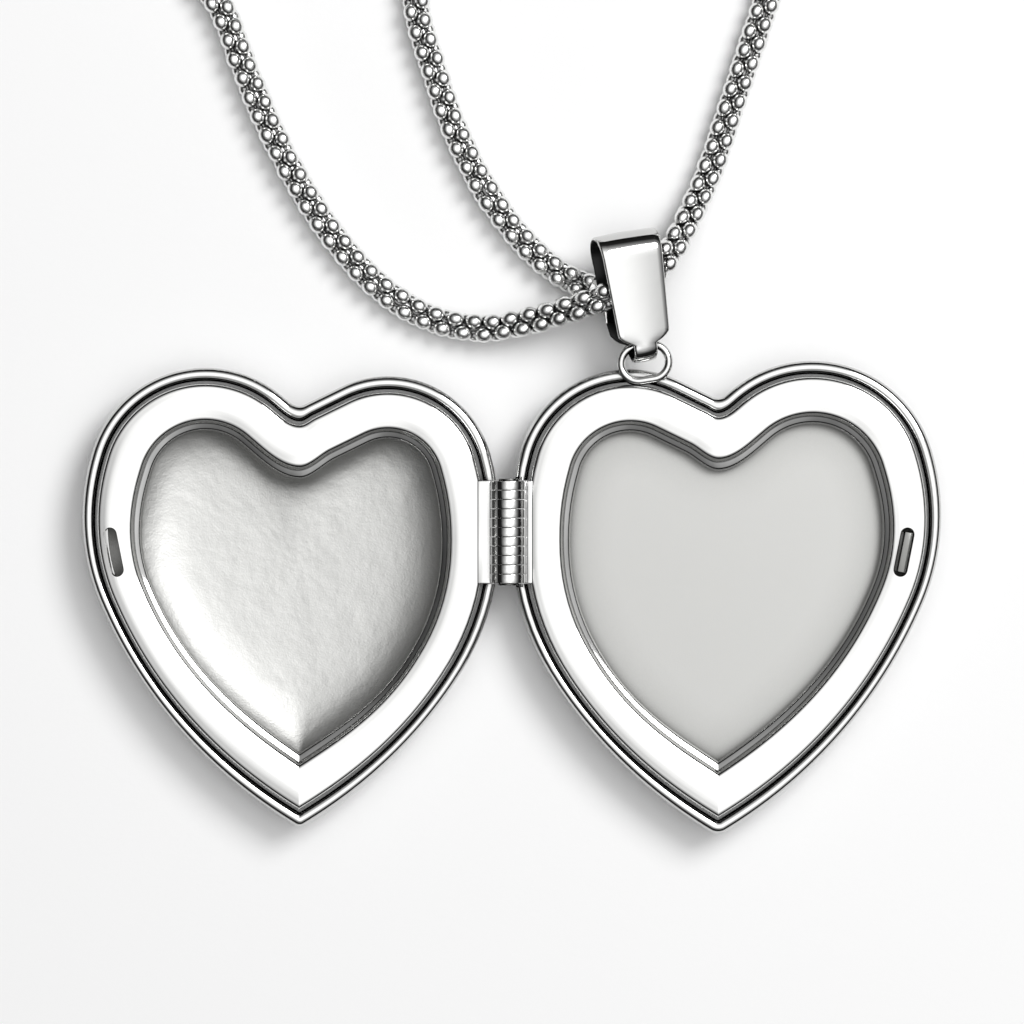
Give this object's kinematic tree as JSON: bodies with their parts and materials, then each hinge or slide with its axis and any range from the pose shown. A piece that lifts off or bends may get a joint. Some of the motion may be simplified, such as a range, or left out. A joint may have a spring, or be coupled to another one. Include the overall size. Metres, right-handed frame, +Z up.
{
  "type": "heart locket",
  "caption": "Heart locket lying open on a pin hinge, with polished frames, a satin plate, a crinkled dish, a catch tongue, a swinging bail and a popcorn chain with a lobster clasp.",
  "frame": {"origin": "on the ground, under the middle of the back half's flat rest face", "axes": "+X from the hinge across the back half, +Y up the open locket from its tips to the bail, +Z up out of the open faces"},
  "size_m": [0.0436, 0.0661, 0.0044],
  "materials": {
    "polished_silver": "mirror polished silver",
    "satin_plate": "fine satin silver",
    "crinkled_satin": "crinkled satin silver",
    "chain_silver": "polished popcorn chain",
    "spring_steel": "bright spring metal"
  },
  "bodies": {
    "back_half": {"back_shell": "polished_silver", "back_frame": "polished_silver", "back_plate": "satin_plate", "back_hinge_leaf": "polished_silver", "back_knuckles": "polished_silver", "hinge_pin": "spring_steel", "catch_foot": "spring_steel", "bail_ring": "polished_silver", "chain_run": "chain_silver", "chain_tail": "chain_silver", "chain_coil": "chain_silver", "tail_cap": "polished_silver", "tail_ring": "polished_silver", "clasp_cap": "polished_silver", "clasp_link_ring": "polished_silver", "clasp_swivel": "polished_silver"},
    "front_half": {"front_shell": "polished_silver", "front_frame": "polished_silver", "front_dish": "crinkled_satin", "front_hinge_leaf": "polished_silver", "front_knuckles": "polished_silver"},
    "tongue": {"catch_tongue": "spring_steel"},
    "bail": {"bail": "polished_silver"},
    "clasp": {"clasp_body": "polished_silver", "clasp_rivet": "spring_steel", "clasp_spring": "spring_steel"},
    "lever": {"clasp_lever": "polished_silver"}
  },
  "joints": [
    {"name": "hinge", "type": "hinge", "parent": "back_half", "child": "front_half", "pos_m": [-0.01045, 0.0014, 0.00305], "axis": [0, 1, 0], "range_deg": [0, 180]},
    {"name": "catch_flex", "type": "hinge", "parent": "back_half", "child": "tongue", "pos_m": [0.00925, 0.0004, 0.00213], "axis": [0.194, 0.981, 0], "range_deg": [-6, 0], "stiffness_Nm_per_rad": 0.002},
    {"name": "bail_swing", "type": "hinge", "parent": "back_half", "child": "bail", "pos_m": [-0.0038, 0.01072, 0.00268], "axis": [0.9863, 0.165, 0], "range_deg": [0, 60], "deforming": ["chain_run", "chain_tail"]},
    {"name": "clasp_turn", "type": "hinge", "parent": "back_half", "child": "clasp", "pos_m": [0.00553, 0.03715, 0.0009], "axis": [0.3173, 0.9483, 0], "continuous": true},
    {"name": "lever_press", "type": "hinge", "parent": "clasp", "child": "lever", "pos_m": [0.00515, 0.03949, 0.0009], "axis": [0, 0, 1], "range_deg": [-15, 0], "stiffness_Nm_per_rad": 0.0005}
  ]
}
